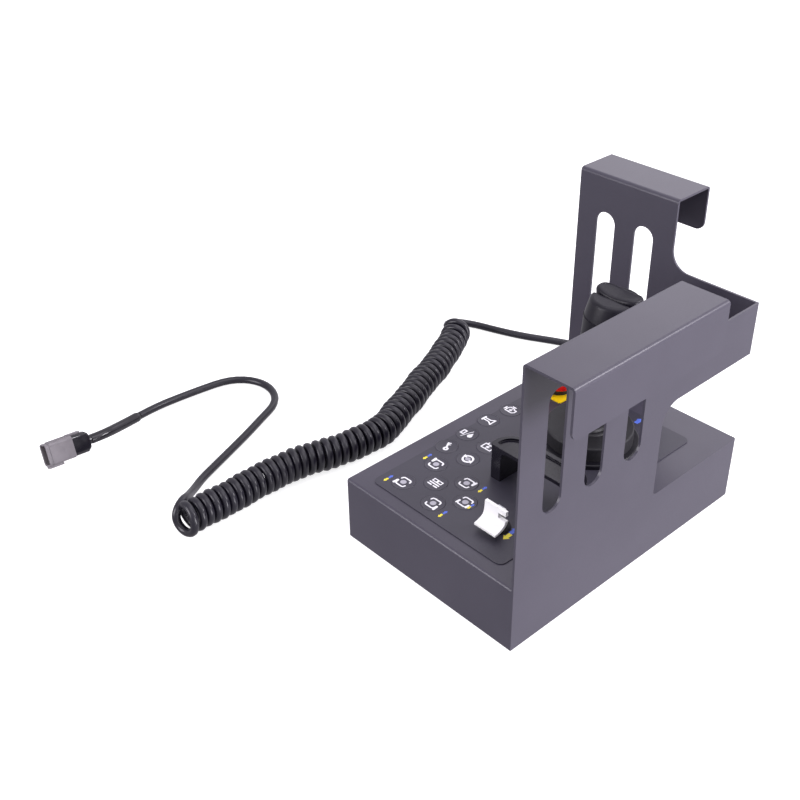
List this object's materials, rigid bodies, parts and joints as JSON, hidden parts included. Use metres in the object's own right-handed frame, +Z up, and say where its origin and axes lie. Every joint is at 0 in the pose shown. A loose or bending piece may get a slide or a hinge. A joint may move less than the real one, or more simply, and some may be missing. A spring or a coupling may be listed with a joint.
{
  "type": "platform control box",
  "caption": "Hook-on operator's control box with keypad, guarded joystick, toggle, emergency stop and curly cord with plug.",
  "frame": {"origin": "centre of the box's bottom face, on the surface that it stands on", "axes": "+X towards the operator's right, +Y away from the operator, +Z up"},
  "size_m": [0.6375, 0.6655, 0.317],
  "materials": {
    "powder_coat": "satin powder coat",
    "overlay_film": "fine matt",
    "key_film": "fine matt",
    "black_plastic": "semi-matt",
    "grip_plastic": "fine texture",
    "guard_plastic": "semi-matt",
    "boot_rubber": "matt",
    "cord_rubber": "satin",
    "sleeve_plastic": "glossy",
    "red_plastic": "glossy",
    "yellow_plastic": "matt",
    "white_plastic": "semi-matt",
    "grey_plastic": "semi-matt",
    "zinc_steel": "zinc plated",
    "bright_steel": "bright",
    "brass_pins": "bright",
    "foam_rubber": "closed-cell foam",
    "circuit_board": "solder mask",
    "nylon": "natural nylon"
  },
  "bodies": {
    "box": {"housing_shell": "powder_coat", "side_plate": "powder_coat", "rear_plate": "powder_coat", "bottom_cover": "powder_coat", "cover_gasket": "foam_rubber", "cover_screws": "zinc_steel", "rivet_nuts": "zinc_steel", "keypad_overlay": "overlay_film", "keypad_board": "circuit_board", "key_switches": "black_plastic", "board_supports": "nylon", "joystick_flange": "black_plastic", "flange_screws": "zinc_steel", "boot_ring": "boot_rubber", "joystick_housing": "black_plastic", "pivot_axle": "bright_steel", "centring_spring": "bright_steel", "estop_plate": "yellow_plastic", "estop_collar": "black_plastic", "estop_contacts": "black_plastic", "toggle_body": "black_plastic", "toggle_boot": "boot_rubber", "joystick_guard": "guard_plastic", "guard_screws": "zinc_steel", "cable_gland": "black_plastic", "gland_cap": "black_plastic", "panel_nuts": "black_plastic", "cord_lead": "cord_rubber", "cord_coil": "cord_rubber", "cord_tail": "cord_rubber", "cord_sleeve": "sleeve_plastic", "plug_backshell": "black_plastic", "plug_shell": "grey_plastic", "plug_contacts": "brass_pins", "controller_board": "circuit_board", "wire_harness": "cord_rubber"},
    "lever": {"joystick_shaft": "bright_steel", "boot_dome": "boot_rubber", "grip_body": "grip_plastic", "grip_head": "grip_plastic", "grip_pins": "bright_steel"},
    "rocker": {"thumb_rocker": "black_plastic"},
    "trigger": {"enable_trigger": "black_plastic"},
    "estop_plunger": {"estop_stem": "black_plastic"},
    "estop_cap": {"estop_head": "red_plastic"},
    "toggle": {"toggle_lever": "zinc_steel", "toggle_paddle": "white_plastic"},
    "key_leg_front_left": {"key_leg_front_left": "key_film"},
    "key_leg_front_right": {"key_leg_front_right": "key_film"},
    "key_leg_rear_left": {"key_leg_rear_left": "key_film"},
    "key_leg_rear_right": {"key_leg_rear_right": "key_film"},
    "key_auto_level": {"key_auto_level": "key_film"},
    "key_all_legs": {"key_all_legs": "key_film"},
    "key_ignition": {"key_ignition": "key_film"},
    "key_fuel": {"key_fuel": "key_film"},
    "key_horn": {"key_horn": "key_film"},
    "key_engine": {"key_engine": "key_film"},
    "key_rotate": {"key_rotate": "key_film"},
    "key_generator": {"key_generator": "key_film"}
  },
  "joints": [
    {"name": "lever_tilt", "type": "hinge", "parent": "box", "child": "lever", "pos_m": [0.0115, 0.057, 0.055], "axis": [1, 0, 0], "range_deg": [-18, 18], "stiffness_Nm_per_rad": 3},
    {"name": "rocker_tilt", "type": "hinge", "parent": "lever", "child": "rocker", "pos_m": [0.0215, 0.073, 0.246], "axis": [0, 1, 0], "range_deg": [-7, 7], "stiffness_Nm_per_rad": 0.06},
    {"name": "trigger_pull", "type": "hinge", "parent": "lever", "child": "trigger", "pos_m": [0.0115, 0.0785, 0.204], "axis": [-1, 0, 0], "range_deg": [0, 6], "stiffness_Nm_per_rad": 0.05, "springref_deg": -6.88},
    {"name": "estop_push", "type": "slide", "parent": "box", "child": "estop_plunger", "axis": [0, 0, -1], "range_m": [0, 0.004], "stiffness_N_per_m": 2000, "springref_m": -0.006},
    {"name": "estop_twist", "type": "hinge", "parent": "estop_plunger", "child": "estop_cap", "pos_m": [-0.0775, 0.11, 0.09], "axis": [0, 0, -1], "range_deg": [0, 30], "stiffness_Nm_per_rad": 0.06, "springref_deg": -5.73},
    {"name": "toggle_tilt", "type": "hinge", "parent": "box", "child": "toggle", "pos_m": [0.046, -0.1185, 0.073], "axis": [1, 0, 0], "range_deg": [-11, 11], "stiffness_Nm_per_rad": 0.4},
    {"name": "key_leg_front_left_press", "type": "slide", "parent": "box", "child": "key_leg_front_left", "axis": [0, 0, -1], "range_m": [0, 0.0006], "stiffness_N_per_m": 600, "springref_m": -0.002},
    {"name": "key_leg_front_right_press", "type": "slide", "parent": "box", "child": "key_leg_front_right", "axis": [0, 0, -1], "range_m": [0, 0.0006], "stiffness_N_per_m": 600, "springref_m": -0.002},
    {"name": "key_leg_rear_left_press", "type": "slide", "parent": "box", "child": "key_leg_rear_left", "axis": [0, 0, -1], "range_m": [0, 0.0006], "stiffness_N_per_m": 600, "springref_m": -0.002},
    {"name": "key_leg_rear_right_press", "type": "slide", "parent": "box", "child": "key_leg_rear_right", "axis": [0, 0, -1], "range_m": [0, 0.0006], "stiffness_N_per_m": 600, "springref_m": -0.002},
    {"name": "key_auto_level_press", "type": "slide", "parent": "box", "child": "key_auto_level", "axis": [0, 0, -1], "range_m": [0, 0.0006], "stiffness_N_per_m": 600, "springref_m": -0.002},
    {"name": "key_all_legs_press", "type": "slide", "parent": "box", "child": "key_all_legs", "axis": [0, 0, -1], "range_m": [0, 0.0006], "stiffness_N_per_m": 600, "springref_m": -0.002},
    {"name": "key_ignition_press", "type": "slide", "parent": "box", "child": "key_ignition", "axis": [0, 0, -1], "range_m": [0, 0.0006], "stiffness_N_per_m": 600, "springref_m": -0.002},
    {"name": "key_fuel_press", "type": "slide", "parent": "box", "child": "key_fuel", "axis": [0, 0, -1], "range_m": [0, 0.0006], "stiffness_N_per_m": 600, "springref_m": -0.002},
    {"name": "key_horn_press", "type": "slide", "parent": "box", "child": "key_horn", "axis": [0, 0, -1], "range_m": [0, 0.0006], "stiffness_N_per_m": 600, "springref_m": -0.002},
    {"name": "key_engine_press", "type": "slide", "parent": "box", "child": "key_engine", "axis": [0, 0, -1], "range_m": [0, 0.0006], "stiffness_N_per_m": 600, "springref_m": -0.002},
    {"name": "key_rotate_press", "type": "slide", "parent": "box", "child": "key_rotate", "axis": [0, 0, -1], "range_m": [0, 0.0006], "stiffness_N_per_m": 600, "springref_m": -0.002},
    {"name": "key_generator_press", "type": "slide", "parent": "box", "child": "key_generator", "axis": [0, 0, -1], "range_m": [0, 0.0006], "stiffness_N_per_m": 600, "springref_m": -0.002}
  ]
}
